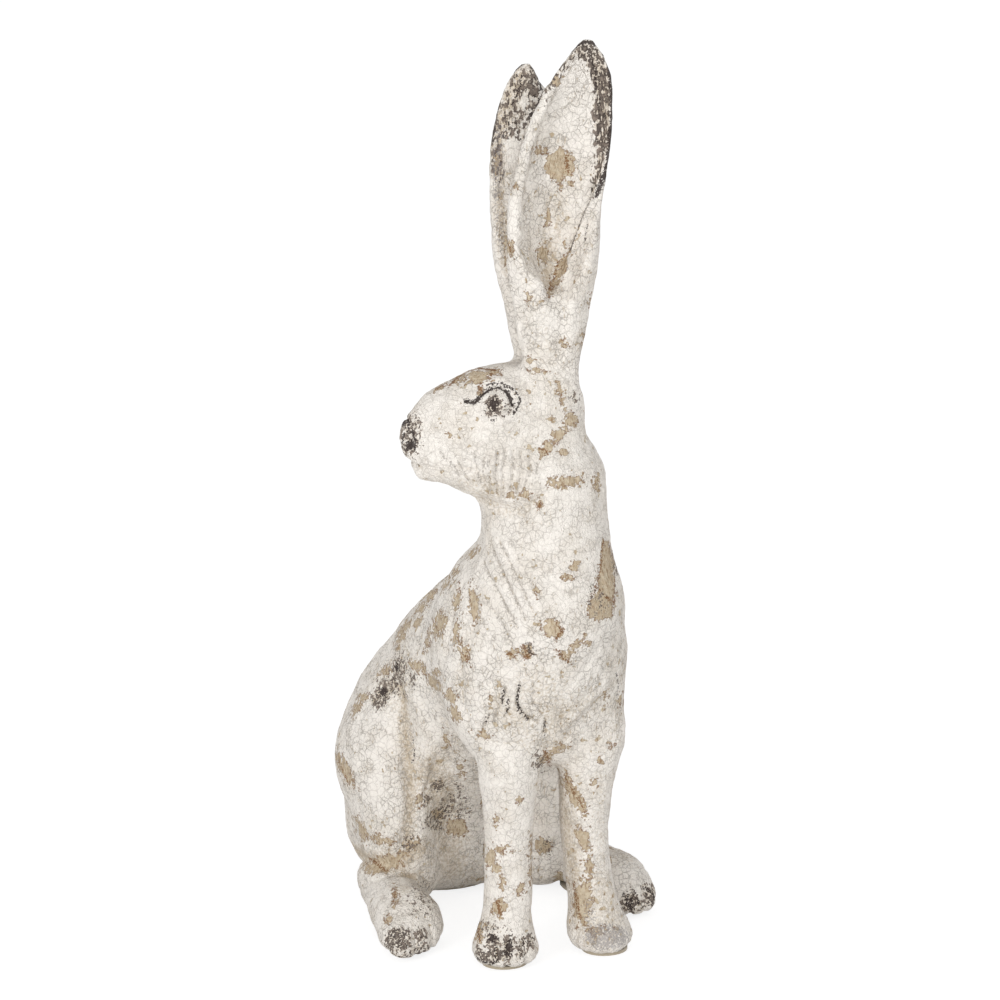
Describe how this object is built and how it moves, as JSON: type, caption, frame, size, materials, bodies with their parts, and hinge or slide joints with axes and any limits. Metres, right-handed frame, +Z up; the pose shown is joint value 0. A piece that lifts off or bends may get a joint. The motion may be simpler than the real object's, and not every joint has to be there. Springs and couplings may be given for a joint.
{
  "type": "sitting hare figurine",
  "caption": "Upright sitting hare ornament with its head turned aside and tall cupped ears, in cast resin with worn, crackled off-white paint, standing on felt pads.",
  "frame": {"origin": "on the shelf, at the bottom centre of the figure's bounding box", "axes": "+Z up; the hare's breast and paws face -Y, and its own left side is +X"},
  "size_m": [0.209, 0.302, 0.612],
  "materials": {
    "cast_resin": "matt crackled paint, chipped and stained",
    "steel_rod": "drawn",
    "moulded_plug": "moulded",
    "felt": "felted"
  },
  "bodies": {
    "root": {"body_casting": "cast_resin", "head_casting": "cast_resin", "ear_left_casting": "cast_resin", "ear_right_casting": "cast_resin", "front_leg_left_casting": "cast_resin", "front_leg_right_casting": "cast_resin", "hind_foot_left_casting": "cast_resin", "hind_foot_right_casting": "cast_resin", "ear_rod_left": "steel_rod", "ear_rod_right": "steel_rod", "leg_rod_left": "steel_rod", "leg_rod_right": "steel_rod", "base_plug": "moulded_plug", "felt_rump": "felt", "felt_paw_left": "felt", "felt_paw_right": "felt", "felt_foot_left": "felt", "felt_foot_right": "felt"}
  },
  "joints": []
}
